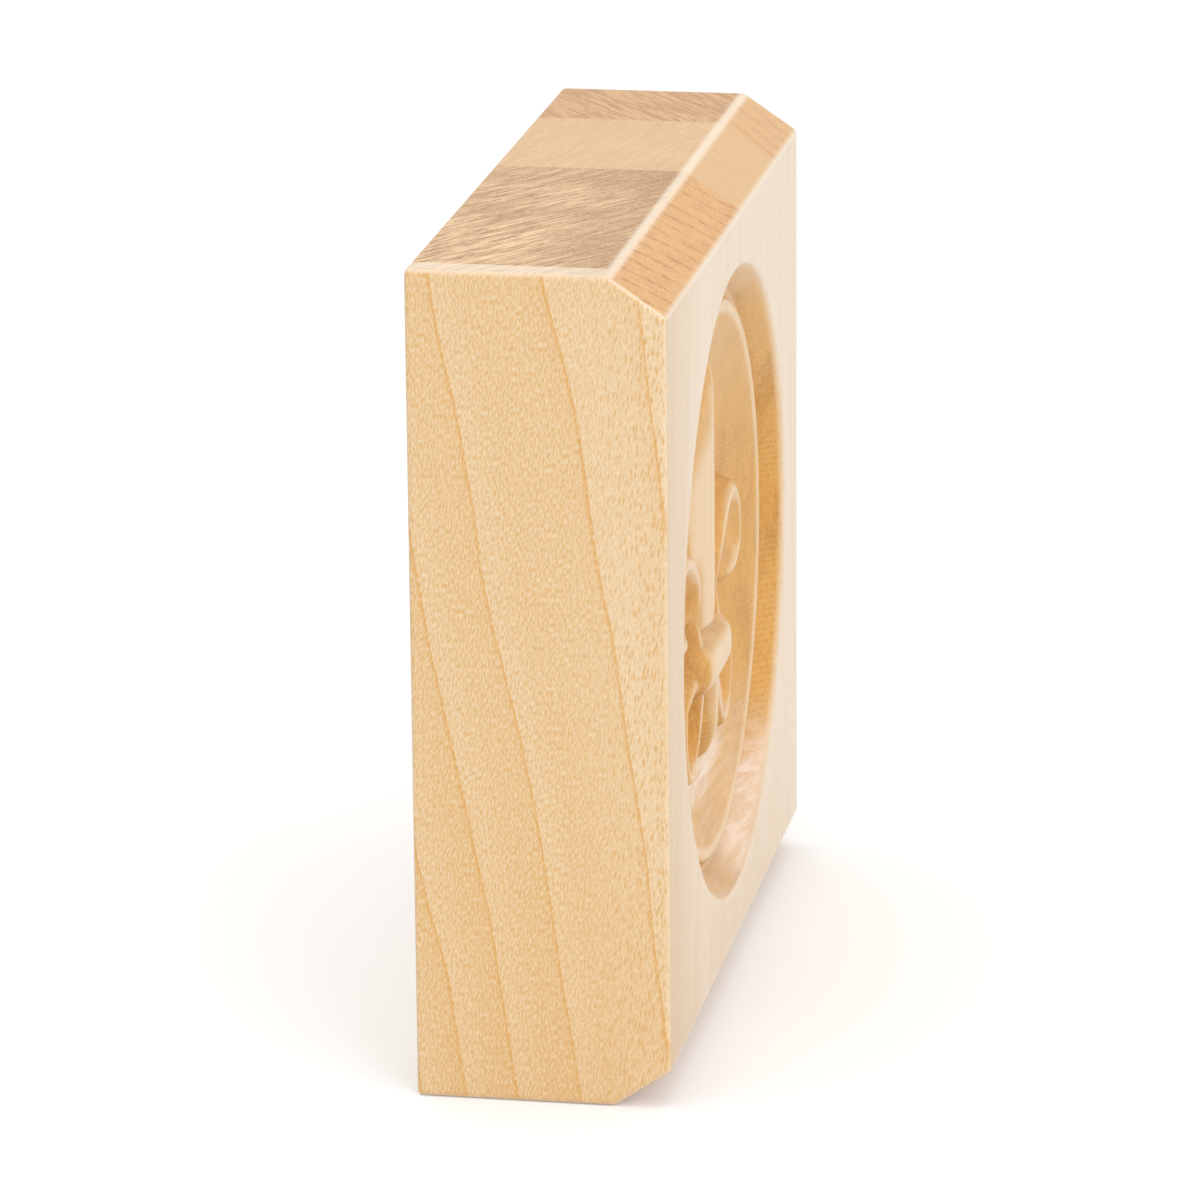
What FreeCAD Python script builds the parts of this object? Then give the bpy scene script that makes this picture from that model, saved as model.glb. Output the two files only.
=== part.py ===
import FreeCAD, Part
import math
import os

from FreeCAD import Vector

# A square corner block of hardwood, glued up from three upright staves and carved on its front.
# X runs to the right as one faces the front, Y runs into the wall, Z is up and follows the grain.
# The back is the plane y = 0, the front face is y = -block_thickness, the carving is centred on x = z = 0.

# The block
block_width = 88.9
block_height = 88.9
block_thickness = 27.0
left_stave_width = 48.1
middle_stave_width = 24.6
bevel_run = 4.1        # height of the bevel on the front face, at the top and the bottom end
bevel_rise = 6.0       # how far the bevel goes back along the thickness
eased_edge = 0.6       # sanded round on every outer edge

# The round recess, turned about its centre, from the rim inwards; depths are below the front face
rim_radius = 34.3
rim_ease = 0.8         # width of the softened rim
rim_ease_depth = 0.45
cove_width = 3.0
cove_foot_depth = 3.2
cove_hollow = 0.3      # how far the cove sags below a straight slope
ring_rise_width = 1.1  # outer slope of the ring
ring_crest_width = 0.5
ring_depth = 2.2       # top of the ring
ring_fall_width = 1.9  # inner slope of the ring
dish_rim_depth = 2.75
dish_land = 0.15       # flat seam between the ring and the dish
dish_depth = 7.4

# The lily in the dish: three petals above a collar, three tails below it
root_depth = 1.5       # how far the carved forms reach below the dish

collar_height = -8.7   # centre of the collar above the centre of the block
collar_reach = 8.4
collar_half_height = 3.4
collar_end_half_height = 2.3
collar_end_bow = 1.0   # how far each end bows out
collar_round = 4.3     # radius of its rounded face
collar_depth = 1.75    # top of the collar below the front face

spine_depth = 2.45     # ridge of the middle petal
spine_round = 0.9      # half width of a softened ridge
petal_half_width = 9.2
petal_widest = 11.0    # height of the widest place
petal_foot_half_width = 4.2
petal_fall = 7.5       # slope of each half, in degrees
petal_tip_clearance = 1.8   # from the upper tip to the dish's rim

tail_spine_depth = 2.3
tail_half_width = 3.4
tail_widest = -13.5
tail_foot_half_width = 2.4
tail_fall = 20.0
tail_tip_clearance = 7.6    # from the lower tip to the dish's rim

side_petal_depth = 2.85  # rim of the side petals
side_petal_x = 15.7      # centre of the round head
side_petal_z = 1.5
side_petal_radius = 5.2
head_angles = (110, 65, 20, -25, -70)   # directions of the points that draw the head
stem_inner = 5.2         # the stem between the collar and the head
stem_width = 1.7
stem_bend = -3.4         # height at which the stem starts to lean out
crook_x = 7.0            # inner side of the bend
crook_z = 2.3
notch_x = 9.2            # under the head, where it meets the stem
notch_z = -2.5

side_tail_depth = 2.95   # rim of the side tails
side_tail_inner = 3.2    # where it leaves the collar
side_tail_waist_x = 6.2
side_tail_waist_z = -15.9
side_tail_tip_x = 11.1
side_tail_tip_z = -19.7
side_tail_outer = 15.4
side_tail_outer_z = -14.6
side_tail_shoulder = 12.0
side_tail_shoulder_z = -10.2

scoop_rim = 1.1          # rim left standing round each hollow
petal_scoop_depth = 1.3
tail_scoop_depth = 1.4
tail_scoop_x = 10.4      # centre of the round end of a side tail's hollow
tail_scoop_z = -14.0
tail_scoop_radius = 3.3

front = -block_thickness
relief_root = front + dish_depth + root_depth
cove_foot_radius = rim_radius - cove_width
ring_outer_radius = cove_foot_radius - ring_rise_width
ring_inner_radius = ring_outer_radius - ring_crest_width
ring_foot_radius = ring_inner_radius - ring_fall_width
dish_radius = ring_foot_radius - dish_land


def place(x, depth, z):
    return Vector(x, front + depth, z)


def root(x, z):
    return Vector(x, relief_root, z)


def closed_face(edges):
    return Part.Face(Part.Wire(edges))


def line(start, end):
    return Part.LineSegment(start, end).toShape()


def arc(start, middle, end):
    return Part.Arc(start, middle, end).toShape()


def curve(points):
    spline = Part.BSplineCurve()
    spline.interpolate(points)
    return spline.toShape()


def mirrored(shape):
    return shape.mirror(Vector(0, 0, 0), Vector(1, 0, 0))


def bevelled_block():
    half_height = block_height / 2
    corners = [
        Vector(0, 0, -half_height),
        Vector(0, front + bevel_rise, -half_height),
        Vector(0, front, -half_height + bevel_run),
        Vector(0, front, half_height - bevel_run),
        Vector(0, front + bevel_rise, half_height),
        Vector(0, 0, half_height),
    ]
    section = Part.Face(Part.makePolygon(corners + corners[:1]))
    section.translate(Vector(-block_width / 2, 0, 0))
    block = section.extrude(Vector(block_width, 0, 0))
    return block.makeFillet(eased_edge, block.Edges)


def turned_recess():
    """The rim, the cove and the ring, down to the seam round the dish."""
    top_centre = place(0, -rim_ease, 0)
    top_edge = place(rim_radius + rim_ease, -rim_ease, 0)
    rim_top = place(rim_radius + rim_ease, 0, 0)
    rim_foot = place(rim_radius, rim_ease_depth, 0)
    cove_foot = place(cove_foot_radius, cove_foot_depth, 0)
    cove_drop = cove_foot_depth - rim_ease_depth
    cove_length = math.hypot(cove_width, cove_drop)
    cove_middle = (rim_foot + cove_foot) * 0.5
    cove_middle += Vector(-cove_drop, cove_width, 0) * (cove_hollow / cove_length)
    ring_outer = place(ring_outer_radius, ring_depth, 0)
    ring_inner = place(ring_inner_radius, ring_depth, 0)
    ring_foot = place(ring_foot_radius, dish_rim_depth, 0)
    seam_centre = place(0, dish_rim_depth, 0)
    profile = closed_face([
        line(top_centre, top_edge),
        line(top_edge, rim_top),
        line(rim_top, rim_foot),
        arc(rim_foot, cove_middle, cove_foot),
        line(cove_foot, ring_outer),
        line(ring_outer, ring_inner),
        line(ring_inner, ring_foot),
        line(ring_foot, seam_centre),
        line(seam_centre, top_centre),
    ])
    return profile.revolve(Vector(0, 0, 0), Vector(0, 1, 0), 360)


def hollow_radius(half_width, depth):
    """Radius of the ball whose cap has this half width and depth."""
    return (half_width ** 2 + depth ** 2) / (2 * depth)


def dish():
    drop = dish_depth - dish_rim_depth
    radius = hollow_radius(dish_radius, drop)
    ball = Part.makeSphere(radius)
    ball.translate(place(0, dish_depth - radius, 0))
    reach = Part.makeCylinder(dish_radius, dish_depth + root_depth, place(0, 0, 0), Vector(0, 1, 0))
    return reach.common(ball)


def raised(outline, depth):
    """A solid that stands on the dish's ground up to a depth below the front face."""
    return closed_face(outline).extrude(Vector(0, front + depth - relief_root, 0))


def ridged(outline, spine, fall, half_width, bottom, top):
    """A leaf with a softened ridge along its middle and a plain slope on each side."""
    slope = math.tan(math.radians(fall))
    reach = half_width + spine_round
    round_edge = spine + spine_round * slope
    crown = spine + spine_round * slope / 2
    eaves = spine + reach * slope
    corners = [
        Vector(-reach, relief_root, bottom),
        place(-reach, eaves, bottom),
        place(-spine_round, round_edge, bottom),
        place(spine_round, round_edge, bottom),
        place(reach, eaves, bottom),
        Vector(reach, relief_root, bottom),
    ]
    section = closed_face([
        line(corners[0], corners[1]),
        line(corners[1], corners[2]),
        arc(corners[2], place(0, crown, bottom), corners[3]),
        line(corners[3], corners[4]),
        line(corners[4], corners[5]),
        line(corners[5], corners[0]),
    ])
    return raised(outline, 0).common(section.extrude(Vector(0, 0, top - bottom)))


def leaf_outline(foot_half_width, foot, half_width, widest, tip):
    """Two arcs a side, upright where they meet at the widest place."""

    def side(end_x, end_z, sign):
        run = half_width - end_x
        climb = end_z - widest
        radius = hollow_radius(climb, run)
        middle_climb = climb / 2
        middle_x = half_width - radius + math.sqrt(radius ** 2 - middle_climb ** 2)
        return [
            root(sign * half_width, widest),
            root(sign * middle_x, widest + middle_climb),
            root(sign * end_x, end_z),
        ]

    edges = []
    for sign in (1, -1):
        edges.append(arc(*side(foot_half_width, foot, sign)))
        edges.append(arc(*side(0, tip, sign)))
    edges.append(line(root(-foot_half_width, foot), root(foot_half_width, foot)))
    return Part.sortEdges(edges)[0]


def middle_petal():
    tip = dish_radius - petal_tip_clearance
    outline = leaf_outline(petal_foot_half_width, collar_height, petal_half_width, petal_widest, tip)
    return ridged(outline, spine_depth, petal_fall, petal_half_width, collar_height, tip)


def middle_tail():
    tip = tail_tip_clearance - dish_radius
    outline = leaf_outline(tail_foot_half_width, collar_height, tail_half_width, tail_widest, tip)
    return ridged(outline, tail_spine_depth, tail_fall, tail_half_width, tip, collar_height)


def drop_scoop(x, z, half_width, tip_x, tip_z, rim, depth):
    """A gouged hollow, round at one end and drawn out to a point at the other."""
    radius = hollow_radius(half_width, depth)
    centre = place(x, rim + depth - radius, z)
    tip = place(tip_x, rim, tip_z)
    axis = centre - tip
    tangent = math.sqrt(axis.Length ** 2 - radius ** 2)
    height = tangent ** 2 / axis.Length
    point = Part.makeCone(0, tangent * radius / axis.Length, height, tip, axis)
    ball = Part.makeSphere(radius)
    ball.translate(centre)
    return ball.fuse(point)


def side_petal():
    stem_outer = stem_inner + stem_width
    foot_in = root(stem_inner, collar_height)
    foot_out = root(stem_outer, collar_height)
    stem_top = root(stem_outer, notch_z - stem_width)
    notch = root(notch_x, notch_z)
    sweep = [foot_in, root(stem_inner, stem_bend), root(crook_x, crook_z)]
    for angle in head_angles:
        across = side_petal_radius * math.cos(math.radians(angle))
        along = side_petal_radius * math.sin(math.radians(angle))
        sweep.append(root(side_petal_x + across, side_petal_z + along))
    sweep.append(notch)
    outline = [curve(sweep), line(notch, stem_top), line(stem_top, foot_out), line(foot_out, foot_in)]
    hollow = drop_scoop(side_petal_x, side_petal_z, side_petal_radius - scoop_rim, crook_x + scoop_rim,
                        side_petal_z, side_petal_depth, petal_scoop_depth)
    return raised(outline, side_petal_depth).cut(hollow)


def side_tail():
    foot_in = root(side_tail_inner, collar_height)
    foot_out = root(side_tail_shoulder, collar_height)
    sweep = [
        foot_in,
        root(side_tail_waist_x, side_tail_waist_z),
        root(side_tail_tip_x, side_tail_tip_z),
        root(side_tail_outer, side_tail_outer_z),
        root(side_tail_shoulder, side_tail_shoulder_z),
    ]
    outline = [curve(sweep), line(sweep[-1], foot_out), line(foot_out, foot_in)]
    hollow = drop_scoop(tail_scoop_x, tail_scoop_z, tail_scoop_radius, side_tail_tip_x,
                        side_tail_tip_z + scoop_rim, side_tail_depth, tail_scoop_depth)
    return raised(outline, side_tail_depth).cut(hollow)


def collar():
    """A short bar across the petals' foot, bowed all round and with a rounded face."""
    low = collar_height - collar_end_half_height
    high = collar_height + collar_end_half_height
    end_x = collar_reach - collar_end_bow
    outline = [
        arc(root(-end_x, high), root(0, collar_height + collar_half_height), root(end_x, high)),
        arc(root(end_x, high), root(collar_reach, collar_height), root(end_x, low)),
        arc(root(end_x, low), root(0, collar_height - collar_half_height), root(-end_x, low)),
        arc(root(-end_x, low), root(-collar_reach, collar_height), root(-end_x, high)),
    ]
    axis = place(-block_width / 2, collar_depth + collar_round, collar_height)
    face = Part.makeCylinder(collar_round, block_width, axis, Vector(1, 0, 0))
    return raised(outline, 0).common(face)


def carved_block():
    ground = bevelled_block().cut(turned_recess()).cut(dish())
    petal = side_petal()
    tail = side_tail()
    forms = [middle_petal(), middle_tail(), petal, mirrored(petal), tail, mirrored(tail), collar()]
    return ground.fuse(forms).removeSplitter()


def stave(carved, left, right):
    blank = Part.makeBox(right - left, block_thickness, block_height)
    blank.translate(Vector(left, front, -block_height / 2))
    return carved.common(blank)


def main():
    carved = carved_block()
    edges = [-block_width / 2]
    edges.append(edges[0] + left_stave_width)
    edges.append(edges[1] + middle_stave_width)
    edges.append(block_width / 2)
    os.makedirs("parts", exist_ok=True)
    for name, left, right in zip(["left_stave", "middle_stave", "right_stave"], edges, edges[1:]):
        piece = stave(carved, left, right)
        print(name, len(piece.Solids), "solid", piece.isValid(), round(piece.Volume / 1000, 2), "cm3",
              len(piece.Faces), "faces")
        piece.Solids[0].exportStep("parts/" + name + ".step")


main()
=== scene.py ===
import math
from types import SimpleNamespace

import bpy
import numpy as np
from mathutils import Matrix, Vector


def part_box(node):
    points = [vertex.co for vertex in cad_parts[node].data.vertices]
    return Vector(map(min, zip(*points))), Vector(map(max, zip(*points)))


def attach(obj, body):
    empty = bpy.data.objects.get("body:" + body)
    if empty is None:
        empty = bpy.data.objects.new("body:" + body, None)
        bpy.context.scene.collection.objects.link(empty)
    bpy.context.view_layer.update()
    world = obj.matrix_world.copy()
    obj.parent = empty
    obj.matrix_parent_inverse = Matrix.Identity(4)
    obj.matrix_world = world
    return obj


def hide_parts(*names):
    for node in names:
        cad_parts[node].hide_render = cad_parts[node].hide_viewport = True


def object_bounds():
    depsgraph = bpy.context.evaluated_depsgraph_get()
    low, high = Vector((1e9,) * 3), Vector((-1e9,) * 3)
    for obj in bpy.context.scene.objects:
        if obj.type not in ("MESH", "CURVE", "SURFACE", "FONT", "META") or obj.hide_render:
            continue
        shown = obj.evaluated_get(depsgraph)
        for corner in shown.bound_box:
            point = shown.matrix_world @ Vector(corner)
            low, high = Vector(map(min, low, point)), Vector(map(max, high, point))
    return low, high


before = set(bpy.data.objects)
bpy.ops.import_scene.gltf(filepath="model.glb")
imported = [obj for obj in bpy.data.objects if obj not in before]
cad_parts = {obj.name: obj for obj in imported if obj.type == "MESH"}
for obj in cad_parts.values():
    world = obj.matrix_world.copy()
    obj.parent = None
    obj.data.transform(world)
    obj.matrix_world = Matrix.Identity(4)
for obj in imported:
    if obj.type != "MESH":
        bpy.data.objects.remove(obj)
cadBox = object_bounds()
mm = 0.001                                                # sizes below are millimetres, Blender is in metres
blockLow = np.array(cadBox[0]) / mm
blockHigh = np.array(cadBox[1]) / mm
halfWidth = blockHigh[0]
halfHeight = blockHigh[2]
frontY = blockLow[1]
print("frame:", sorted(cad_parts), "block", np.round(blockHigh - blockLow, 2))


# block: bevelled ends, eased edges, three glued staves

block = dict(
    bevelRun=4.1,            # height of the bevel on the front
    bevelRise=6.0,           # how far it goes back along the thickness
    easedEdge=0.6,
    easedLines=(0.0, 0.2, 0.45, 0.75, 1.15),              # mesh lines by an edge, as shares of easedEdge
    fineStep=0.21,           # mesh lines over the carving
    plainStep=1.8,
    seamClear=0.06,          # how far mesh lines keep from a stave's ends
    touching=0.01,           # an end this close to the block's side is an outer side
)

recess = dict(
    reach=35.6,              # the carving lies within this radius
    rimRadius=34.3,
    rimEase=0.9,
    rimCurve=((1.0, 0.0), (0.4, 0.1), (-0.25, 0.52)),     # shares of rimEase outwards, and depths
    coveFootRadius=31.3,
    coveFootDepth=3.2,
    coveMiddle=(0.42, 0.66),                              # shares of the cove's width and depth
    coveFootCurve=((0.5, -0.14), (0.0, 0.0), (-0.4, -0.3)),           # outwards of the foot, and deeper
    ringRadius=30.0,
    ringDepth=2.2,
    ringCurve=((0.55, 0.16), (0.0, 0.0), (-0.55, 0.08), (-1.1, 0.25)),
    dishRadius=28.0,
    dishRimDepth=2.72,
    dishDepth=7.4,
    dishFlat=2.3,            # 2 is a plain bowl, more is flatter in the middle
    dishShares=(1.0, 0.93, 0.85, 0.75, 0.6, 0.4, 0.2, 0.0),           # of its radius, where the curve is set
)

lily = dict(
    melt=0.3,                # how softly one form runs into the next
    wall=2.4,                # steepness of the forms' sides
    softEdge=0.45,
    closeAt=-12.0,           # half outlines close well past the middle
    petal=dict(
        spine=2.45, fall=10.0, ridge=0.5, dive=(21.5, 26.3, 0.6),
        outline=((5.0, -5.0), (6.3, -1.5), (8.4, 5.0), (9.2, 10.6), (8.5, 14.2), (6.8, 17.1), (4.3, 19.4),
                 (1.9, 21.6), (0.6, 23.7), (0.0, 26.2)),
    ),
    tail=dict(
        spine=2.1, fall=20.0, ridge=0.7, dive=(-15.5, -20.5, 1.8),
        outline=((2.4, -9.0), (3.4, -12.8), (2.6, -16.3), (0.0, -20.3)),
    ),
    sidePetal=dict(
        rim=2.55, rimWidth=0.55, hollow=1.5, hollowRun=2.6,
        broad=dict(axis=1, start=-1.0, end=3.0, extra=0.2),           # the rim is broader at the top
        sunk=dict(at=(10.0, -2.6), size=(3.8, 2.8), drop=1.3),        # and low where the stem comes in
        outline=((5.2, -7.5), (5.4, -4.5), (5.9, 0.0), (7.4, 2.7), (9.5, 4.5), (12.4, 6.1), (16.2, 6.7),
                 (19.4, 4.8), (20.9, 1.3), (19.9, -1.8), (16.8, -3.5), (12.2, -3.5), (8.6, -2.6),
                 (7.2, -4.0), (6.9, -7.5)),
    ),
    sideTail=dict(
        rim=2.8, rimWidth=0.55, hollow=1.7, hollowRun=2.6,
        broad=dict(axis=0, start=10.0, end=6.5, extra=0.9),           # broader towards the middle tail
        sunk=dict(at=(14.0, -10.5), size=(2.5, 1.5), drop=0.3),
        outline=((3.0, -9.0), (3.6, -12.2), (6.2, -15.9), (9.0, -18.5), (11.1, -19.7), (13.6, -18.6),
                 (15.4, -15.4), (15.4, -12.2), (13.2, -10.2), (9.0, -8.5)),
    ),
    collar=dict(height=-8.4, reach=8.9, halfTall=3.7, crown=1.4, ground=5.6, ends=6.5, sides=2.7, skirt=3.0),
)


def smoothCurve(knots, at):                               # curve through knots that never overshoots them
    place, value = (np.array(row, float) for row in zip(*sorted(knots)))
    step = np.diff(place)
    rise = np.diff(value) / step
    slope = np.zeros_like(place)
    same = rise[:-1] * rise[1:] > 0
    slope[1:-1][same] = 2 * rise[:-1][same] * rise[1:][same] / (rise[:-1] + rise[1:])[same]
    slope[0] = rise[0] * 0.5 if value[0] != value[1] else 0.0
    cell = np.clip(np.searchsorted(place, at) - 1, 0, len(step) - 1)
    t = np.clip((at - place[cell]) / step[cell], 0, 1)
    along = step[cell]
    return (value[cell] * (1 + 2 * t) * (1 - t) ** 2 + slope[cell] * along * t * (1 - t) ** 2
            + value[cell + 1] * t * t * (3 - 2 * t) + slope[cell + 1] * along * t * t * (t - 1))


def smoothPath(points, perSpan=10):                       # flowing line through a few points
    points = np.array(points, float)
    padded = np.vstack([2 * points[0] - points[1], points, 2 * points[-1] - points[-2]])
    t = np.linspace(0, 1, perSpan, endpoint=False)[:, None]
    spans = []
    for a, b, c, d in zip(padded, padded[1:], padded[2:], padded[3:]):
        spans.append(0.5 * (2 * b + (c - a) * t + (2 * a - 5 * b + 4 * c - d) * t ** 2
                            + (3 * b - a - 3 * c + d) * t ** 3))
    return np.vstack(spans + [points[-1:]])


def outlineDistance(x, z, outline):                       # distance to a closed outline, negative inside
    ends = np.roll(outline, -1, axis=0)
    nearest = np.full(x.shape, np.inf)
    inside = np.zeros(x.shape, bool)
    for (ax, az), (bx, bz) in zip(outline, ends):
        run, climb = bx - ax, bz - az
        length = run * run + climb * climb
        if length == 0:
            continue
        t = np.clip(((x - ax) * run + (z - az) * climb) / length, 0, 1)
        nearest = np.minimum(nearest, (x - ax - t * run) ** 2 + (z - az - t * climb) ** 2)
        if climb != 0:
            crosses = (az > z) != (bz > z)
            inside ^= crosses & (x < ax + (z - az) / climb * run)
    distance = np.sqrt(nearest)
    return np.where(inside, -distance, distance)


def softMax(value, width):                                # zero below, straight above, rounded between
    return 0.5 * (value + np.sqrt(value * value + width * width))


def softLow(a, b, width):                                 # the nearer of two surfaces, with a fillet
    share = np.clip(0.5 + 0.5 * (b - a) / width, 0, 1)
    return b * (1 - share) + a * share - width * share * (1 - share)


def easeStep(value):
    value = np.clip(value, 0, 1)
    return value * value * (3 - 2 * value)


def turnedRecess(radius):                                 # depth of the plain turned ground
    rim, foot, ring = recess["rimRadius"], recess["coveFootRadius"], recess["ringRadius"]
    footDepth, ringDepth, dishDepth = recess["coveFootDepth"], recess["ringDepth"], recess["dishDepth"]
    across, down = recess["coveMiddle"]
    knots = [(rim + recess["rimEase"] * share, depth) for share, depth in recess["rimCurve"]]
    knots.append((foot + (rim - foot) * across, footDepth * down))
    knots += [(foot + out, footDepth + deeper) for out, deeper in recess["coveFootCurve"]]
    knots += [(ring + out, ringDepth + deeper) for out, deeper in recess["ringCurve"]]
    dishDrop = dishDepth - recess["dishRimDepth"]
    for share in recess["dishShares"]:
        knots.append((recess["dishRadius"] * share, dishDepth - dishDrop * share ** recess["dishFlat"]))
    return smoothCurve(knots, radius)


def halfOutline(points):                                  # right half of a form that straddles the middle
    path = smoothPath(points)
    return np.vstack([path, (lily["closeAt"], path[-1, 1]), (lily["closeAt"], path[0, 1])])


def ridgedForm(x, z, form):                               # middle petal and middle tail
    away = outlineDistance(x, z, halfOutline(form["outline"]))
    ridge = form["ridge"]
    slope = math.tan(math.radians(form["fall"]))
    start, end, drop = form["dive"]                       # the spine dips towards its tip
    top = form["spine"] + drop * np.clip((z - start) / (end - start), 0, 1) ** 2
    top = top + (np.sqrt(x * x + ridge * ridge) - ridge) * slope
    return top + softMax(away, lily["softEdge"]) * lily["wall"]


def hollowedForm(x, z, form):                             # side petals and side tails: a rim round a hollow
    away = outlineDistance(x, z, smoothPath(form["outline"]))
    broad, sunk = form["broad"], form["sunk"]
    along = (x, z)[broad["axis"]]
    broader = easeStep((along - broad["start"]) / (broad["end"] - broad["start"]))
    rimWidth = form["rimWidth"] + broad["extra"] * broader
    bowl = form["hollow"] * easeStep((-away - rimWidth) / form["hollowRun"])
    offX, offZ = (x - sunk["at"][0]) / sunk["size"][0], (z - sunk["at"][1]) / sunk["size"][1]
    rim = form["rim"] + sunk["drop"] * np.exp(-offX * offX - offZ * offZ)
    return rim + bowl + softMax(away, lily["softEdge"]) * lily["wall"]


def collarForm(x, z):
    form = lily["collar"]
    left = 1 - np.abs(x / form["reach"]) ** form["ends"]
    left = left - np.abs((z - form["height"]) / form["halfTall"]) ** form["sides"]
    rise = form["ground"] - form["crown"]
    return form["ground"] - rise * np.sqrt(np.clip(left, 0, 1)) + np.clip(-left, 0, 1) * form["skirt"]


def carvedDepth(x, z):                                    # depth below the front face, in millimetres
    radius = np.hypot(x, z)
    depth = turnedRecess(radius)
    side = np.abs(x)
    forms = [
        hollowedForm(side, z, lily["sidePetal"]),
        hollowedForm(side, z, lily["sideTail"]),
        ridgedForm(side, z, lily["petal"]),
        ridgedForm(side, z, lily["tail"]),
        collarForm(side, z),
    ]
    for form in forms:
        depth = softLow(depth, form, lily["melt"])
    return np.where(radius < recess["reach"], np.maximum(depth, 0), 0)


def meshLines(low, high, fine):                           # closer at the eased ends and over the carving
    eased = np.array(block["easedLines"]) * block["easedEdge"]
    stops = [low + eased[-1], high - eased[-1]]
    if fine:
        stops = [stops[0], -recess["reach"], recess["reach"], stops[1]]
    pieces = [low + eased[:-1], high - eased[-2::-1]]
    for number, (start, end) in enumerate(zip(stops, stops[1:])):
        step = block["fineStep"] if fine and number == 1 else block["plainStep"]
        count = max(2, round((end - start) / step) + 1)
        pieces.append(np.linspace(start, end, count))
    return np.unique(np.round(np.concatenate(pieces), 6))


def endSection():                                         # the block's end outline, sharp, as (y, z)
    run, rise = block["bevelRun"], block["bevelRise"]
    return np.array([
        (0, -halfHeight), (frontY + rise, -halfHeight), (frontY, -halfHeight + run),
        (frontY, halfHeight - run), (frontY + rise, halfHeight), (0, halfHeight),
    ])


def insetSection(corners, inset):                         # the same outline, moved in by the eased edge
    moved = []
    for before, here, after in zip(np.roll(corners, 1, 0), corners, np.roll(corners, -1, 0)):
        first = (here - before) / np.linalg.norm(here - before)
        second = (after - here) / np.linalg.norm(after - here)
        inward = np.array([[first[1], -first[0]], [second[1], -second[0]]])
        level = [inward[0] @ here + inset, inward[1] @ here + inset]
        moved.append(np.linalg.solve(inward, level))
    return np.array(moved)


def nearestOn(points, corners):                           # closest place on an outline
    best = np.full(len(points), np.inf)
    found = np.zeros_like(points)
    for a, b in zip(corners, np.roll(corners, -1, 0)):
        t = np.clip((points - a) @ (b - a) / ((b - a) @ (b - a)), 0, 1)
        here = a + t[:, None] * (b - a)
        gap = np.linalg.norm(points - here, axis=1)
        nearer = gap < best
        best[nearer] = gap[nearer]
        found[nearer] = here[nearer]
    return found


def walkSection():                                        # points round the end outline, front ones marked
    corners = endSection()
    points, onFront = [], []
    for a, b in zip(corners, np.roll(corners, -1, 0)):
        length = np.linalg.norm(b - a)
        front = a[0] == frontY and b[0] == frontY
        places = meshLines(-length / 2, length / 2, front) + length / 2
        points.append(a + (b - a) * places[:-1, None] / length)
        onFront.append(np.full(len(places) - 1, front))
    return np.vstack(points), np.concatenate(onFront), insetSection(corners, block["easedEdge"])


def eased(x, points, inner):                              # rolls the sharp outline over the eased edges
    radius = block["easedEdge"]
    core = np.clip(x, -halfWidth + radius, halfWidth - radius)
    offset = np.zeros((len(x), len(points), 3))
    offset[:, :, 0] = (x - core)[:, None]
    offset[:, :, 1:] = points - inner
    offset *= radius / np.linalg.norm(offset, axis=2, keepdims=True)
    offset[:, :, 0] += core[:, None]
    offset[:, :, 1:] += inner
    return offset


def isOuter(end):                                         # a side of the block, not a glue face
    return abs(abs(end) - halfWidth) < block["touching"]


def staveRows(left, right):                               # rings of points from one end to the other
    points, onFront, insetCorners = walkSection()
    inner = nearestOn(points, insetCorners)
    clear = block["seamClear"]
    lines = meshLines(-halfWidth, halfWidth, True)
    lines = lines[(lines > left + clear) & (lines < right - clear)]
    skin = eased(np.concatenate([[left], lines, [right]]), points, inner)
    skin[:, onFront, 1] += carvedDepth(skin[:, onFront, 0], skin[:, onFront, 2])
    rows = list(skin)
    for end in filter(isOuter, (left, right)):            # outer sides have eased edges, glue faces are flat
        for share in block["easedLines"][1:-1] + (1.0,):
            drawnIn = inner + (1 - share) * (points - inner)
            ring = eased(np.array([end]), drawnIn, inner)[0]
            rows = rows + [ring] if end == right else [ring] + rows
    return rows


def carvedStave(name, left, right):
    rows = staveRows(left, right)
    around, lastRow = len(rows[0]), len(rows) - 1
    turn = np.arange(around)
    following = np.roll(turn, -1)
    quads = np.stack([turn, following, around + following, around + turn], 1)
    faces = []
    for row in range(lastRow):
        faces += (quads + row * around).tolist()
    faces.append(turn[::-1].tolist())
    faces.append((turn + lastRow * around).tolist())
    mesh = bpy.data.meshes.new(name + "_carved")
    mesh.from_pydata((np.concatenate(rows) * mm).tolist(), [], faces)
    mesh.polygons.foreach_set("use_smooth", [True] * (len(faces) - 2) + [False, False])
    mesh.update()
    ends = np.zeros(len(mesh.edges) * 2, int)
    mesh.edges.foreach_get("vertices", ends)
    ends = ends.reshape(-1, 2) // around                  # the rows that each edge joins
    glued = [row for row, end in ((0, left), (lastRow, right)) if not isOuter(end)]
    mesh.edges.foreach_set("use_edge_sharp", (ends[:, 0] == ends[:, 1]) & np.isin(ends[:, 0], glued))
    if mesh.polygons[len(faces) - 2].normal.x > 0:
        mesh.flip_normals()
    piece = bpy.data.objects.new(name + "_carved", mesh)
    bpy.context.scene.collection.objects.link(piece)
    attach(piece, "root")
    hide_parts(name)
    print("stave:", name, len(faces), "faces")
    return piece


# finishes

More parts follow.
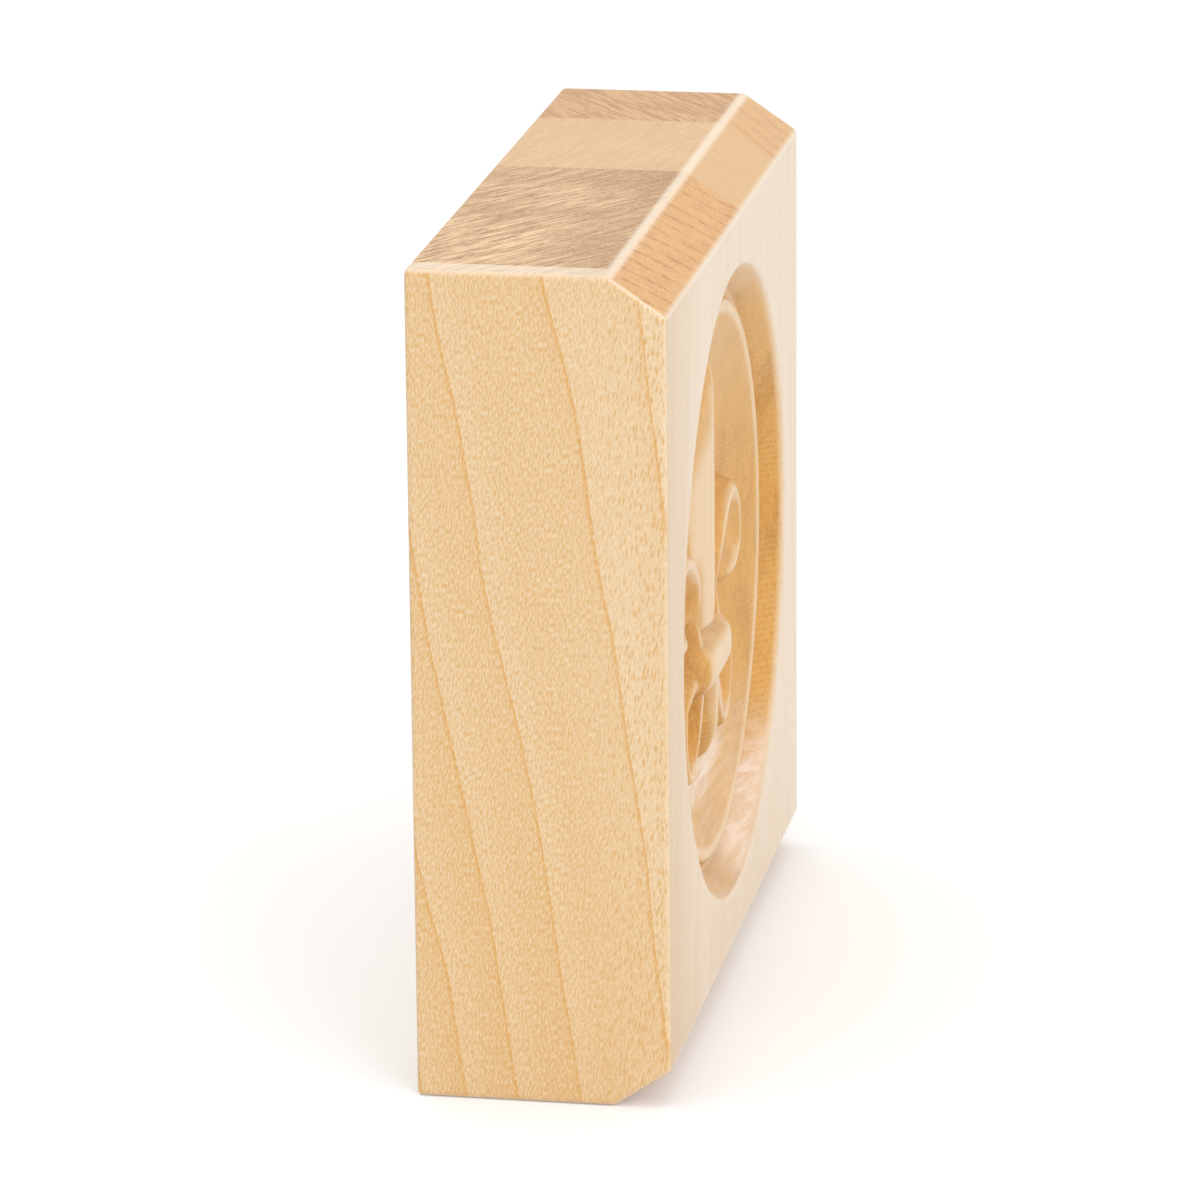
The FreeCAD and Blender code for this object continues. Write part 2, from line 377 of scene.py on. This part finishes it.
class Wire:                                               # a socket, with its sums written as Python
    def __init__(self, finish, socket):
        self.finish = finish
        self.socket = socket

    def maths(self, operation, *others):
        sockets = dict(enumerate((self,) + others))
        return self.finish.node("ShaderNodeMath", dict(operation=operation), sockets)

    def flipped(self, operation, other):
        return self.finish.node("ShaderNodeMath", dict(operation=operation), {0: other, 1: self})

    def __add__(self, other):
        return self.maths("ADD", other)

    def __radd__(self, other):
        return self.flipped("ADD", other)

    def __sub__(self, other):
        return self.maths("SUBTRACT", other)

    def __rsub__(self, other):
        return self.flipped("SUBTRACT", other)

    def __mul__(self, other):
        return self.maths("MULTIPLY", other)

    def __rmul__(self, other):
        return self.flipped("MULTIPLY", other)

    def __truediv__(self, other):
        return self.maths("DIVIDE", other)

    def __rtruediv__(self, other):
        return self.flipped("DIVIDE", other)

    def __abs__(self):
        return self.maths("ABSOLUTE")


class Finish:                                             # the nodes of a material or of the world
    def __init__(self, owner):
        self.owner = owner
        owner.use_nodes = True
        self.tree = owner.node_tree
        self.tree.nodes.clear()

    def node(self, kind, settings=None, sockets=None, out=0):
        item = self.tree.nodes.new(kind)
        for key, value in (settings or {}).items():
            setattr(item, key, value)
        for key, value in (sockets or {}).items():
            if isinstance(value, Wire):
                self.tree.links.new(value.socket, item.inputs[key])
            else:
                item.inputs[key].default_value = value
        return Wire(self, item.outputs[out]) if item.outputs else None

    def parts(self, vector):
        return [self.node("ShaderNodeSeparateXYZ", {}, {0: vector}, axis) for axis in range(3)]

    def joined(self, x, y, z):
        return self.node("ShaderNodeCombineXYZ", {}, {0: x, 1: y, 2: z})

    def stretch(self, vector, factors):
        return self.node("ShaderNodeVectorMath", dict(operation="MULTIPLY"), {0: vector, 1: factors})

    def noise(self, vector, factors, detail=2.0, rough=0.5):          # factors are per millimetre
        sockets = {"Vector": self.stretch(vector, factors), "Scale": 1.0}
        sockets.update({"Detail": detail, "Roughness": rough})
        return self.node("ShaderNodeTexNoise", dict(normalize=True), sockets)

    def cells(self, vector, factors):                     # distance from the middle of scattered cells
        sockets = {"Vector": self.stretch(vector, factors), "Scale": 1.0, "Randomness": 1.0}
        return self.node("ShaderNodeTexVoronoi", dict(feature="F1"), sockets)

    def between(self, value, low, high):                  # 0 below low, 1 above high, eased between
        sockets = {"Value": value, "From Min": low, "From Max": high}
        return self.node("ShaderNodeMapRange", dict(interpolation_type="SMOOTHSTEP"), sockets)

    def blend(self, factor, first, second, how="MIX"):
        settings = dict(data_type="RGBA", blend_type=how)
        return self.node("ShaderNodeMix", settings, {0: factor, 6: first, 7: second}, 2)


maple = dict(
    face=(0.775, 0.575, 0.34, 1),
    warm=(0.75, 0.48, 0.215, 1),                          # slow drift of tone along the boards
    pale=(0.87, 0.73, 0.52, 1),
    front=(0.79, 0.675, 0.535, 1),                        # the sanded front, paler also as a painted sheen
    shadeTowardsLeft=(0.86, 0.83, 0.77, 1),                       # painted shade: makes the front a little darker towards the left side
    ring=(0.70, 0.36, 0.08, 1),                           # growth lines
    fleck=(0.67, 0.35, 0.09, 1),
    endPlain=(0.655, 0.42, 0.205, 1),
    endPale=(0.82, 0.58, 0.34, 1),
    endDark=(0.35, 0.17, 0.05, 1),
    bevel=(0.645, 0.345, 0.115, 1),
    bevelLine=(0.47, 0.18, 0.035, 1),
    cut=(0.69, 0.355, 0.08, 1),                           # slopes and deep parts of the carving: the routed fibres' deeper tone and painted shade of the recess
    cutDark=(0.43, 0.18, 0.022, 1),
    footHighlightTone=(0.88, 0.72, 0.60, 1),                            # painted highlight on the foot of the carving, which faces up
    edge=(0.88, 0.77, 0.62, 1),                           # sanded edges, paler also as a painted highlight
    roughness=0.34,
    endRougher=0.10,
    cutRougher=0.16,
    fibreRougher=0.06,
    ior=1.5,
    bareSpecular=0.1,                                     # the carving's slopes have less of the seal
    bareShare=0.85,
    bumpStrength=0.4,
    bumpHeight=0.03,
    fibreBump=0.35,
    fleckBump=0.8,
    cutterBump=0.9,
    poreBump=0.7,
)

# ring = start + rate * d + bend * d * d, d along the thickness, and closer again by turn beyond turnFrom
staveGrain = dict(
    left_stave=dict(
        slantX=-0.72, fromX=-45.5, tilt=0.181, untilt=0.06, sag=-0.0001, wobble=2.2,
        start=-0.416, rate=0.1665, bend=-0.00249, turnFrom=21.2, turn=0.0148, ringShade=0.8, flecks=1.0,
        endShade=1.0, endAcross=(0.585, 0.81), endTint=(1.0, 0.98, 0.93, 1), nearShade=0.4,
        seamFrom=-13.0, seamShade=0.35, bevelLean=0.6, seed=0.0,
    ),
    middle_stave=dict(
        slantX=0.25, fromX=3.65, tilt=-0.06, untilt=0.0, sag=0.0003, wobble=3.0,
        start=0.3, rate=0.075, bend=0.0, turnFrom=0.0, turn=0.0, ringShade=0.5, flecks=0.7,
        endShade=0.2, endAcross=(0.2, 0.98), endTint=(1.0, 1.0, 1.0, 1), nearShade=0.0,
        seamFrom=0.0, seamShade=0.0, bevelLean=-2.0, seed=37.0,
    ),
    right_stave=dict(
        slantX=0.9, fromX=28.25, tilt=0.09, untilt=0.0, sag=-0.0004, wobble=2.2,
        start=0.2, rate=0.15, bend=0.0, turnFrom=0.0, turn=0.0, ringShade=0.7, flecks=0.9,
        endShade=0.6, endAcross=(-0.585, 0.81), endTint=(0.88, 0.77, 0.63, 1), nearShade=0.0,
        seamFrom=0.0, seamShade=0.0, bevelLean=-0.3, seed=71.0,
    ),
)

guide = dict(
    rimFade=0.6,
    backLimit=(9.0, 12.0),   # nothing is carved deeper than this
    endFacing=(0.35, 0.75),
    endCarved=0.6,           # how much less end grain shows inside the recess
    frontFacing=(0.6, 0.95),
    topFacing=(0.88, 0.96),  # the ends face further up or down than the bevels
)


def surfaceGuide(f, grain):                               # where a point is, how it faces and what it lies on
    at = SimpleNamespace()
    metres = f.node("ShaderNodeTexCoord", out=3)
    at.place = f.node("ShaderNodeVectorMath", dict(operation="SCALE"), {0: metres, "Scale": 1 / mm})
    apart = (grain["seed"], grain["seed"], 0)
    at.shifted = f.node("ShaderNodeVectorMath", dict(operation="ADD"), {0: at.place, 1: apart})
    at.x, at.y, at.z = f.parts(at.place)
    at.faceX, at.faceY, at.faceZ = f.parts(f.node("ShaderNodeNewGeometry", out=1))
    at.radius = (at.x * at.x + at.z * at.z).maths("SQRT")
    at.depth = at.y - frontY
    rim, fade = recess["rimRadius"], guide["rimFade"]
    at.carved = 1 - f.between(at.radius, rim - fade, rim + fade)
    at.carved = at.carved * (1 - f.between(at.depth, *guide["backLimit"]))
    at.outside = 1 - at.carved
    at.endGrain = f.between(abs(at.faceZ), *guide["endFacing"]) * (1 - at.carved * guide["endCarved"])
    at.bevelled = at.endGrain * (1 - f.between(abs(at.faceZ), *guide["topFacing"])) * at.outside
    at.frontal = f.between(abs(at.faceY), *guide["frontFacing"])
    return at


rings = dict(
    drift=((0.05, 0.05, 0.022), 2.0),
    untilt=(12.0, 24.0),     # the lines stand straighter from here towards the front
    early=(0.0, 4.5),        # paler wood after a line, in millimetres
    late=(0.3, 2.4),         # darker wood before the next
    line=(0.16, 0.46),
)


def growthRings(f, at, grain):
    drift = f.noise(at.shifted, *rings["drift"]) - 0.5
    tilt = grain["tilt"] - f.between(at.y * -1, *rings["untilt"]) * grain["untilt"]
    deep = at.y * -1 + at.z * tilt + at.z * at.z * grain["sag"]
    deep = deep + (at.x - grain["fromX"]) * grain["slantX"] + drift * (2 * grain["wobble"])
    beyond = (deep - grain["turnFrom"]).maths("MAXIMUM", 0.0)
    ring = deep * grain["rate"] + deep * deep * grain["bend"] + beyond * beyond * grain["turn"]
    part = (ring + grain["start"]).maths("FRACT")
    rate = deep * (2 * grain["bend"]) + beyond * (2 * grain["turn"]) + grain["rate"]
    toNext = (1 - part) / rate                            # millimetres to the next line
    early = 1 - f.between(part / rate, *rings["early"])
    late = 1 - f.between(toNext, *rings["late"])
    line = 1 - f.between(toNext, *rings["line"])
    return early, late, line


board = dict(
    tone=((0.06, 0.06, 0.03), 2.0),
    toneShare=0.5,
    band=((0.02, 0.02, 0.14), 1.0),
    bandShare=0.3,
    lower=(-20.0, 45.0),     # warmer towards the bottom
    lowerShare=0.4,
    frontShare=0.8,          # of the sanded front's tone, partly a painted sheen
    frontCarved=0.8,         # less of it on the tops of the carving
    frontNearSide=0.2,       # and by the left side, as painted shade
    shadeTowardsLeft=(22.0, 44.0),
    nearFront=(14.0, 25.0),  # paler sides by the front, with longer flecks
    nearFrontPale=0.18,
    earlyPale=0.2,
    lateShare=0.14,
    lineFront=0.8,           # growth lines are weak on the front
    lineBreaks=(0.3, 0.65),
    lineBroken=0.5,
    linePlain=0.45,
    fleckLean=0.15,
    grit=((5.4, 5.4, 1.9), 0.0),
    pebble=(0.4, 0.8),
    pebbleShare=0.6,
    pebbleNearFront=0.3,
    pebbleFront=0.45,
    glint=(0.2, 0.5),
    glintShare=0.42,
    glintFront=0.34,
    dashCells=(3.3, 3.3, 0.75),
    dash=(0.14, 0.42),
    dashGrit=0.4,
    dashShare=0.75,
    fibre=((2.2, 2.2, 0.05), 3.0, 0.6),
    fibreShows=(0.42, 0.7),
    fibreFront=0.2,
    fibreSide=0.05,
)


def boardFigure(f, at, grain):                            # sides, front and back
    early, late, line = growthRings(f, at, grain)
    tone = f.noise(at.shifted, *board["tone"])
    band = f.noise(at.shifted, *board["band"])
    fibre = f.noise(at.shifted, *board["fibre"])
    leaning = f.joined(at.x, at.y + at.z * board["fleckLean"], at.z)
    grit = f.noise(leaning, *board["grit"])
    pebble = f.between(grit, *board["pebble"])
    glint = 1 - f.between(grit, *board["glint"])
    dash = f.cells(leaning, board["dashCells"]) + (grit - 0.5) * board["dashGrit"]
    dash = 1 - f.between(dash, *board["dash"])
    nearFront = f.between(at.y * -1, *board["nearFront"]) * (1 - at.frontal)
    shadeTowardsLeft = f.between(at.x * -1, *board["shadeTowardsLeft"])
    lower = f.between(at.z * -1, *board["lower"])

    warmth = tone * board["toneShare"] + band * board["bandShare"] + lower * board["lowerShare"]
    colour = f.blend(warmth, maple["face"], maple["warm"])
    # the front's paler tone: sanding and a painted sheen
    sandedFrontAndSheen = at.frontal * (1 - at.carved * board["frontCarved"])
    sandedFrontAndSheen = sandedFrontAndSheen * (board["frontShare"] - shadeTowardsLeft * board["frontNearSide"])
    colour = f.blend(sandedFrontAndSheen, colour, maple["front"])
    # painted shade: the front darker towards the left side
    colour = f.blend(at.frontal * shadeTowardsLeft, colour, maple["shadeTowardsLeft"], "MULTIPLY")
    colour = f.blend(late * board["lateShare"] * grain["ringShade"], colour, maple["ring"])
    paler = early * (1 - at.frontal) * board["earlyPale"] + nearFront * board["nearFrontPale"]
    colour = f.blend(paler, colour, maple["pale"])
    colour = f.blend(glint * (board["glintShare"] - at.frontal * board["glintFront"]), colour, maple["pale"])
    broken = f.between(grit, *board["lineBreaks"]) * board["lineBroken"] + board["linePlain"]
    drawn = line * at.outside * (1 - at.frontal * board["lineFront"]) * broken
    colour = f.blend(drawn * grain["ringShade"], colour, maple["ring"])
    weak = nearFront * board["pebbleNearFront"] + at.frontal * board["pebbleFront"]
    flecks = pebble * (board["pebbleShare"] - weak) + dash * nearFront * board["dashShare"]
    colour = f.blend(flecks * grain["flecks"], colour, maple["fleck"])
    strands = f.between(fibre, *board["fibreShows"]) * (at.frontal * board["fibreFront"] + board["fibreSide"])
    return f.blend(strands, colour, maple["ring"]), fibre, pebble


sawnEnd = dict(
    streak=((3.2, 0.2, 0.1), 5.0, 0.72),                  # along the rays
    streakShows=(0.38, 0.6),
    patch=((0.09, 0.09, 0.09), 2.0),
    patchShows=(0.45, 0.7),
    patchShare=0.35,
    nearFront=(9.0, 20.0),   # where the left stave is darker
    seamRun=17.0,            # and how far from its glue line
    pore=((4.4, 4.4, 4.4), 2.0, 0.6),
    poreShows=(0.5, 0.68),
    poreShare=0.5,
)


def endFigure(f, at, grain):                              # broken streaks along the rays, and pores
    acrossX, acrossY = grain["endAcross"]
    rays = f.joined(at.x * acrossX + at.y * acrossY, at.x * acrossY - at.y * acrossX, at.z)
    streak = f.noise(rays, *sawnEnd["streak"])
    pore = f.noise(at.shifted, *sawnEnd["pore"])
    patch = f.noise(at.shifted, *sawnEnd["patch"])
    shade = f.between(patch, *sawnEnd["patchShows"]) * sawnEnd["patchShare"]
    shade = shade + f.between(at.y * -1, *sawnEnd["nearFront"]) * grain["nearShade"]
    seam = grain["seamFrom"]
    shade = shade + f.between(at.x, seam, seam + sawnEnd["seamRun"]) * grain["seamShade"]
    sawn = f.blend(f.between(streak, *sawnEnd["streakShows"]), maple["endPale"], maple["endDark"])
    sawn = f.blend(shade, sawn, maple["endDark"])
    sawn = f.blend(f.between(pore, *sawnEnd["poreShows"]) * sawnEnd["poreShare"], sawn, maple["endPale"])
    sawn = f.blend(grain["endShade"], maple["endPlain"], sawn)
    return f.blend(1.0, sawn, grain["endTint"], "MULTIPLY"), pore


bevelFace = dict(
    mottle=((0.4, 0.4, 0.4), 3.0, 0.6),
    mottleShows=(0.42, 0.66),
    mottleShare=0.3,
    lines=0.28,              # fine lines a millimetre
    waver=((0.1, 0.1, 0.1), 2.0),
    waverShare=0.8,
    lineStarts=(0.68, 0.82),
    lineEnds=(0.87, 0.97),
    lineBreaks=(0.35, 0.6),
    lineBroken=0.5,
    linePlain=0.22,
    poreShows=(0.48, 0.66),
    poreShare=0.4,
)


def bevelFigure(f, at, grain, pore):                      # smoother than the ends, with a few fine lines
    mottle = f.noise(at.shifted, *bevelFace["mottle"])
    fine = (at.y * grain["bevelLean"] + at.x) * bevelFace["lines"]
    fine = (fine + f.noise(at.shifted, *bevelFace["waver"]) * bevelFace["waverShare"]).maths("FRACT")
    line = f.between(fine, *bevelFace["lineStarts"]) * (1 - f.between(fine, *bevelFace["lineEnds"]))
    broken = f.between(mottle, *bevelFace["lineBreaks"]) * bevelFace["lineBroken"] + bevelFace["linePlain"]
    line = line * broken
    dark = line + f.between(mottle, *bevelFace["mottleShows"]) * bevelFace["mottleShare"]
    slope = f.blend(dark, maple["bevel"], maple["bevelLine"])
    pores = f.between(pore, *bevelFace["poreShows"]) * bevelFace["poreShare"]
    slope = f.blend(pores, slope, maple["endPale"])
    return f.blend(grain["endShade"], maple["endPlain"], slope)


carving = dict(
    steepSide=(0.16, 0.5),   # slopes that face sideways are brown, in part painted shade, those that face up or down half as much
    steepUp=(0.2, 0.7),
    steepUpShare=0.5,
    steepDepth=(0.05, 0.8),
    lowDepth=(2.8, 3.5),     # and so is all that lies deeper, but for the petal: painted shade of the recess
    dishEdge=(28.6, 29.6),   # radii between the dish and the ring
    dishWall=(24.2, 25.6),
    petalFoot=(1.0, 5.0),
    petalFade=(-0.6, 0.6),
    petalNarrows=0.062,      # above its widest point
    tipLean=0.7,             # the petal's tip is brown on both sides of its ridge, as painted shade
    tipHeight=(15.5, 20.5),
    tipDepth=(1.8, 2.6),
    tipSides=(0.3, 1.8),
    tipSideShare=0.6,
    tipRidgeShare=0.35,
    leafMiddle=(15.5, 1.2),  # the side petals' hollows are a little paler
    leafReach=(2.6, 4.6),
    leafShed=0.25,
    dishFootFacing=(0.04, 0.26),
    dishFootLow=(15.5, 22.0),
    dishFootRim=(23.5, 26.0),
    dishFootRimShed=0.6,
    coveFootFacing=(0.1, 0.5),
    coveFootLow=(19.0, 28.0),
    coveFootFrom=(-2.0, 9.0),
    footShed=(0.4, 0.6),     # painted shade lost under the painted highlight at the foot, and more of it to the right
    footShare=(0.1, 0.8),
    brush=((0.12, 0.5, 1.3), 3.0, 0.6),
    brushShows=(0.3, 0.7),
    brushShare=0.5,
    cutterPitch=0.66,        # fine ridges
    cutterPatch=((0.07, 0.07, 0.07), 1.0),
    cutterShows=(0.48, 0.62),
    cutterPale=0.2,
    stain=((0.16, 0.16, 0.07), 4.0, 0.65),
    stainShows=(0.42, 0.72),
    stainShare=0.65,
    speck=((3.2, 3.2, 1.3), 3.0, 0.7),
    speckShows=(0.45, 0.7),
    speckShare=0.45,
    brownShare=0.9,
    dishShed=0.14,           # paler in the dish, but for the left tail
    leftTailEnd=(-8.0, -2.0),
    leftTailLow=(9.0, 12.0),
    upperSpan=(6.0, 26.0),   # and towards the top
    upperShed=0.4,
    upperDish=0.1,
)


def footHighlightMask(f, at, inDish):                              # painted highlight on the up-facing foot of the dish and the cove, and its right part
    down = at.z * -1
    dishFootHighlight = f.between(at.faceZ, *carving["dishFootFacing"]) * f.between(down, *carving["dishFootLow"])
    dishFootHighlight = dishFootHighlight * inDish
    dishFootHighlight = dishFootHighlight * (1 - f.between(at.radius, *carving["dishFootRim"]) * carving["dishFootRimShed"])
    coveFootHighlight = f.between(at.faceZ, *carving["coveFootFacing"]) * f.between(down, *carving["coveFootLow"])
    brushed = f.between(f.noise(at.place, *carving["brush"]), *carving["brushShows"])
    brushed = brushed * carving["brushShare"] + carving["brushShare"]
    foot = (coveFootHighlight * (1 - inDish)).maths("MAXIMUM", dishFootHighlight) * brushed
    return foot, f.between(at.x, *carving["coveFootFrom"]).maths("MAXIMUM", inDish)


def brownSlopesAndShade(f, at, inDish):                           # painted shade and the routed fibres' tone: slopes, the dish and the petal's tip
    steepUp = f.between(abs(at.faceZ), *carving["steepUp"]) * carving["steepUpShare"]
    steep = f.between(abs(at.faceX), *carving["steepSide"]).maths("MAXIMUM", steepUp)
    steep = steep * f.between(at.depth, *carving["steepDepth"])
    side = abs(at.x)
    petalHalf, petalWidest = max(lily["petal"]["outline"])
    shoulder = (at.z - petalWidest).maths("MAXIMUM", 0.0)
    pastPetal = side + shoulder * shoulder * carving["petalNarrows"] - petalHalf
    onPetal = f.between(at.z, *carving["petalFoot"]) * (1 - f.between(pastPetal, *carving["petalFade"]))
    low = f.between(at.depth, *carving["lowDepth"]) * (1 - onPetal)
    low = low.maths("MAXIMUM", inDish * f.between(at.radius, *carving["dishWall"]))
    # painted shade at the petal's tip
    tip = f.between(side * carving["tipLean"] + at.z, *carving["tipHeight"])
    tip = tip * f.between(at.depth, *carving["tipDepth"]) * inDish
    tip = tip * (f.between(side, *carving["tipSides"]) * carving["tipSideShare"] + carving["tipRidgeShare"])
    leafX, leafZ = side - carving["leafMiddle"][0], at.z - carving["leafMiddle"][1]
    leaf = 1 - f.between((leafX * leafX + leafZ * leafZ).maths("SQRT"), *carving["leafReach"])
    brown = steep.maths("MAXIMUM", low.maths("MAXIMUM", tip))
    return at.carved * brown * (1 - leaf * carving["leafShed"])


def carvedFigure(f, at, colour):                          # the carving, with the cutter's fine ridges, painted shade on its slopes and a painted highlight at its foot
    inDish = 1 - f.between(at.radius, *carving["dishEdge"])
    foot, toRight = footHighlightMask(f, at, inDish)
    shedLeft, shedRight = carving["footShed"]
    ground = brownSlopesAndShade(f, at, inDish) * (1 - foot * (toRight * shedRight + shedLeft))
    footLeft, footRight = carving["footShare"]
    # painted highlight at the up-facing foot of the carving
    colour = f.blend(foot * at.carved * (toRight * footRight + footLeft), colour, maple["footHighlightTone"])

    stain = f.between(f.noise(at.shifted, *carving["stain"]), *carving["stainShows"]) * carving["stainShare"]
    speck = f.between(f.noise(at.shifted, *carving["speck"]), *carving["speckShows"]) * carving["speckShare"]
    routedAndShaded = f.blend(stain + speck, maple["cut"], maple["cutDark"])
    leftTail = 1 - f.between(at.x, *carving["leftTailEnd"])
    leftTail = leftTail * f.between(at.z * -1, *carving["leftTailLow"])
    upper = f.between(at.z, *carving["upperSpan"]) * (carving["upperShed"] - inDish * carving["upperDish"])
    shed = inDish * (1 - leftTail) * carving["dishShed"] + upper
    # painted shade on the carving's slopes and deep parts, with the routed fibres' tone and stains
    colour = f.blend(ground * (carving["brownShare"] - shed), colour, routedAndShaded)

    scallop = ((at.z / carving["cutterPitch"]).maths("FRACT") - 0.5) * 2
    patches = f.between(f.noise(at.place, *carving["cutterPatch"]), *carving["cutterShows"])
    marks = scallop * scallop * at.carved * patches
    return f.blend(marks * carving["cutterPale"], colour, maple["endPale"]), ground, marks


# pale edges: sanded wear and a painted highlight
edgeWearHighlight = dict(
    width=0.5,
    full=0.1,                # within this of an edge it is palest
    strip=3.4,               # on the ends, beside the left side, part of the painted highlight
    stripFade=0.4,
    stripShare=0.8,
    sideFront=0.5,           # weaker where the sides and the bevels meet the front
    bevelFront=0.7,
    share=0.65,
)


def edgeWearHighlightMask(f, at):                                   # 1 along the block's outer edges: sanded wear and a painted highlight
    run, rise = block["bevelRun"], block["bevelRise"]
    slant = math.hypot(run, rise)
    bevelAway = ((halfHeight - run) * rise - frontY * run) / slant
    bevel = abs(at.z) * (rise / slant) - at.y * (run / slant) - bevelAway
    faces = (abs(at.x) - halfWidth, abs(at.z) - halfHeight, frontY - at.y, bevel)
    side, end, front, bevel = (f.between(away, -edgeWearHighlight["width"], -edgeWearHighlight["full"]) for away in faces)
    strip = f.between(at.x * -1 - halfWidth, -edgeWearHighlight["strip"], -edgeWearHighlight["strip"] + edgeWearHighlight["stripFade"])
    edge = side * end.maths("MAXIMUM", bevel.maths("MAXIMUM", front * edgeWearHighlight["sideFront"]))
    edge = edge.maths("MAXIMUM", strip * edgeWearHighlight["stripShare"] * end)
    return edge.maths("MAXIMUM", bevel * end.maths("MAXIMUM", front * edgeWearHighlight["bevelFront"]))


def mapleFinish(name, grain):
    f = Finish(bpy.data.materials.new("maple_" + name))
    at = surfaceGuide(f, grain)
    colour, fibre, pebble = boardFigure(f, at, grain)
    sawn, pore = endFigure(f, at, grain)
    colour = f.blend(at.endGrain, colour, sawn)
    colour = f.blend(at.bevelled, colour, bevelFigure(f, at, grain, pore))
    colour, ground, marks = carvedFigure(f, at, colour)
    # sanded wear and painted highlight along the edges
    colour = f.blend(edgeWearHighlightMask(f, at) * edgeWearHighlight["share"], colour, maple["edge"])

    relief = fibre * maple["fibreBump"] - pebble * at.outside * maple["fleckBump"]
    relief = relief + marks * maple["cutterBump"] + pore * at.endGrain * maple["poreBump"]
    heights = {"Strength": maple["bumpStrength"], "Distance": maple["bumpHeight"] * mm, "Height": relief}
    bump = f.node("ShaderNodeBump", {}, heights)
    roughness = maple["roughness"] + at.endGrain * maple["endRougher"] + ground * maple["cutRougher"]
    roughness = roughness + (fibre - 0.5) * maple["fibreRougher"]
    look = {"Base Color": colour, "Roughness": roughness, "IOR": maple["ior"], "Normal": bump}
    sealed = f.node("ShaderNodeBsdfPrincipled", {}, look)
    bare = f.node("ShaderNodeBsdfPrincipled", {}, {**look, "Specular IOR Level": maple["bareSpecular"]})
    shader = f.node("ShaderNodeMixShader", {}, {0: ground * maple["bareShare"], 1: sealed, 2: bare})
    f.node("ShaderNodeOutputMaterial", {}, {"Surface": shader})
    return f.owner


edges = [-halfWidth] + [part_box("middle_stave")[side].x / mm for side in (0, 1)] + [halfWidth]
for name, left, right in zip(("left_stave", "middle_stave", "right_stave"), edges, edges[1:]):
    piece = carvedStave(name, left, right)
    piece.data.materials.append(mapleFinish(name, staveGrain[name]))
print("block: carved and finished")


# floor, light and camera

studio = dict(
    floorSize=6.0,           # metres
    floorTone=0.80,
    floorLift=0.18,          # added for the camera and reflections, so that the open floor is white
    farLift=0.25,            # and more of it far away, where the lamps don't reach
    farSpan=(0.3, 1.5),
    skyFill=0.85,            # world light on the object
    topPower=3.0,
    topSize=0.9,
    topPlace=(-0.12, 0.05, 0.95),
    keyPower=4.0,
    keySize=0.8,
    keyPlace=(-0.75, -0.75, 0.65),
)


def seenDirectly(f):                                      # 1 for camera, glossy and transmission rays
    camera, glossy, through = (f.node("ShaderNodeLightPath", out=number) for number in (0, 3, 6))
    return camera.maths("MAXIMUM", glossy).maths("MAXIMUM", through)


def paleFloor():
    size = studio["floorSize"] / 2
    low = blockLow[2] * mm
    corners = [(-size, -size, low), (size, -size, low), (size, size, low), (-size, size, low)]
    mesh = bpy.data.meshes.new("floor")
    mesh.from_pydata(corners, [], [(0, 1, 2, 3)])
    floor = bpy.data.objects.new("floor", mesh)
    bpy.context.scene.collection.objects.link(floor)
    f = Finish(bpy.data.materials.new("pale_floor"))
    tone = studio["floorTone"]
    plain = f.node("ShaderNodeBsdfDiffuse", {}, {"Color": (tone, tone, tone, 1)})
    place = f.node("ShaderNodeTexCoord", out=3)
    away = f.node("ShaderNodeVectorMath", dict(operation="LENGTH"), {0: place}, out=1)
    near, far = studio["floorLift"], studio["floorLift"] + studio["farLift"]
    glow = f.blend(f.between(away, *studio["farSpan"]), (near, near, near, 1), (far, far, far, 1))
    lift = f.node("ShaderNodeEmission", {}, {"Color": glow})
    lifted = f.node("ShaderNodeAddShader", {}, {0: plain, 1: lift})
    shader = f.node("ShaderNodeMixShader", {}, {0: seenDirectly(f), 1: plain, 2: lifted})
    f.node("ShaderNodeOutputMaterial", {}, {"Surface": shader})
    mesh.materials.append(f.owner)


def whiteSurround():
    f = Finish(bpy.data.worlds.new("surround"))
    bpy.context.scene.world = f.owner
    seen = seenDirectly(f)
    strength = seen + (1 - seen) * studio["skyFill"]
    sky = f.node("ShaderNodeBackground", {}, {"Color": (1, 1, 1, 1), "Strength": strength})
    f.node("ShaderNodeOutputWorld", {}, {"Surface": sky})


def softBox(name, power, size, place):
    lamp = bpy.data.lights.new(name, "AREA")
    lamp.shape, lamp.size, lamp.energy = "SQUARE", size, power
    box = bpy.data.objects.new(name, lamp)
    box.location = place
    direction = -box.location
    box.rotation_euler = direction.to_track_quat("-Z", "Y").to_euler()
    bpy.context.scene.collection.objects.link(box)


shot = dict(
    place=(-688.56, -136.24, 202.90),                     # from the middle of the back face
    turn=(73.620, 0.492, -79.909),                        # degrees
    lens=200.94,
    sensor=36.0,
    clip=(0.01, 50.0),                                    # metres
)

paleFloor()
whiteSurround()
softBox("top_light", studio["topPower"], studio["topSize"], studio["topPlace"])
softBox("key_light", studio["keyPower"], studio["keySize"], studio["keyPlace"])
camera = bpy.data.objects.new("camera", bpy.data.cameras.new("camera"))
camera.location = [value * mm for value in shot["place"]]
camera.rotation_euler = [math.radians(value) for value in shot["turn"]]
camera.data.lens = shot["lens"]
camera.data.sensor_width = shot["sensor"]
camera.data.clip_start, camera.data.clip_end = shot["clip"]
bpy.context.scene.collection.objects.link(camera)
bpy.context.scene.camera = camera
bpy.context.scene.view_settings.view_transform = "Standard"
print("studio: floor, light and camera set")
